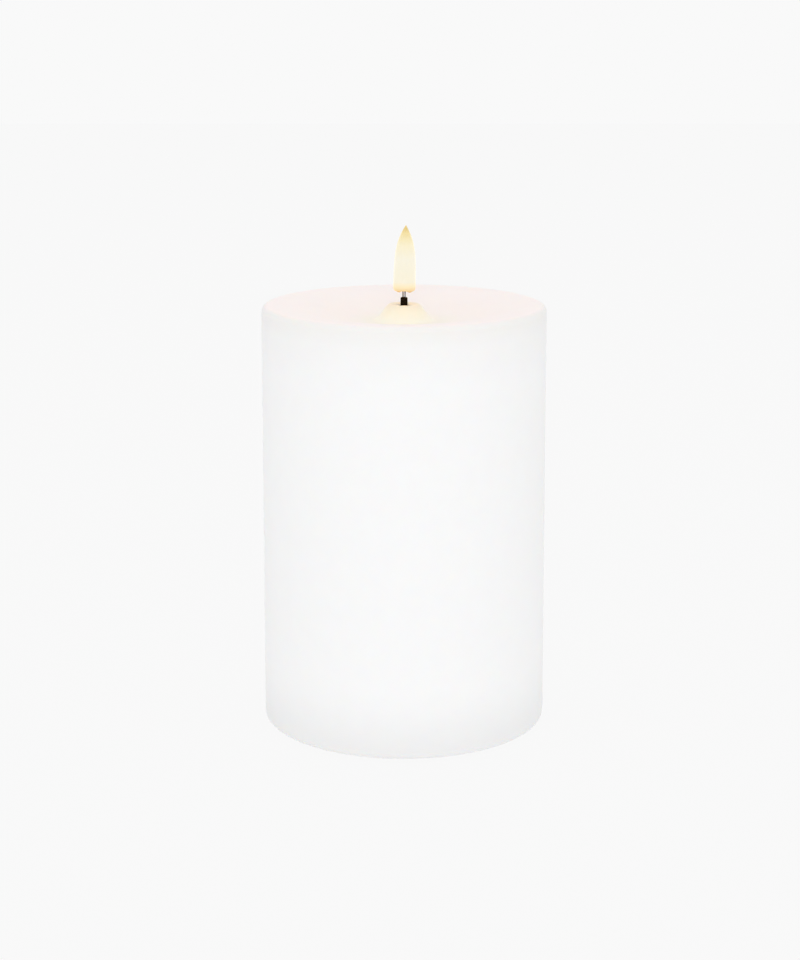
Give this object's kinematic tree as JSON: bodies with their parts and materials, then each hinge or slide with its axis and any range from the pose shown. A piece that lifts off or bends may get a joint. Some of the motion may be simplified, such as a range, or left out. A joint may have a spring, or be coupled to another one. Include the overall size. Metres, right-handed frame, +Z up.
{
  "type": "flameless led candle",
  "caption": "Flameless pillar candle: wax shell with a melted top, translucent LED flame on a wick, battery base with hinged door and slide switch.",
  "frame": {"origin": "centre of the candle on the surface it stands on", "axes": "+Z up along the candle, +Y from the battery door towards the switch, -Y towards the front"},
  "size_m": [0.101, 0.101, 0.1802],
  "materials": {
    "wax": "ivory white paraffin wax, smooth, softly translucent, faint satin sheen",
    "flame": "translucent milky plastic lit from inside, warm yellow tip and amber foot",
    "wick": "matt black woven sleeve",
    "white_plastic": "white moulded plastic, fine spark-eroded texture",
    "black_plastic": "black moulded plastic, fine texture",
    "foot_rubber": "matt dark grey rubber",
    "screw_steel": "zinc plated steel",
    "contact_nickel": "nickel plated spring steel",
    "cell_jacket": "plain satin grey cell jacket with bare steel ends",
    "board_green": "green solder mask",
    "red_insulation": "red flexible wire insulation",
    "black_insulation": "black flexible wire insulation",
    "led_epoxy": "clear yellow lamp body"
  },
  "bodies": {
    "candle": {"base_plate": "white_plastic", "base_screw_1": "screw_steel", "base_screw_2": "screw_steel", "base_screw_3": "screw_steel", "base_screw_4": "screw_steel", "battery_1": "cell_jacket", "battery_2": "cell_jacket", "battery_case": "white_plastic", "board_screw_1": "screw_steel", "board_screw_2": "screw_steel", "capacitor": "black_plastic", "case_screw_1": "screw_steel", "case_screw_2": "screw_steel", "case_screw_3": "screw_steel", "case_screw_4": "screw_steel", "case_spring": "contact_nickel", "control_board": "board_green", "controller_chip": "black_plastic", "core_liner": "white_plastic", "crystal": "screw_steel", "flame_led": "led_epoxy", "flame_lens": "flame", "foot_1": "foot_rubber", "foot_2": "foot_rubber", "foot_3": "foot_rubber", "foot_4": "foot_rubber", "hinge_pin": "screw_steel", "ir_receiver": "black_plastic", "lamp_header": "white_plastic", "lamp_plug": "white_plastic", "led_lead_1": "contact_nickel", "led_lead_2": "contact_nickel", "negative_contact": "contact_nickel", "positive_contact": "contact_nickel", "resistor_1": "black_plastic", "resistor_2": "black_plastic", "splice_sleeve_1": "black_plastic", "splice_sleeve_2": "black_plastic", "switch_housing": "screw_steel", "wax_shell": "wax", "wick_holder": "white_plastic", "wick_sleeve": "wick", "wire_battery_negative": "black_insulation", "wire_battery_positive": "red_insulation", "wire_lamp_negative": "black_insulation", "wire_lamp_positive": "red_insulation"},
    "door": {"battery_door": "white_plastic", "bridge_contact": "contact_nickel", "door_spring": "contact_nickel"},
    "switch_knob": {"switch_knob": "black_plastic"}
  },
  "joints": [
    {"name": "battery_door_hinge", "type": "hinge", "parent": "candle", "child": "door", "pos_m": [0, 0.0087, 0.0027], "axis": [1, 0, 0], "range_deg": [0, 90]},
    {"name": "switch_slide", "type": "slide", "parent": "candle", "child": "switch_knob", "axis": [1, 0, 0], "range_m": [0, 0.005]}
  ]
}
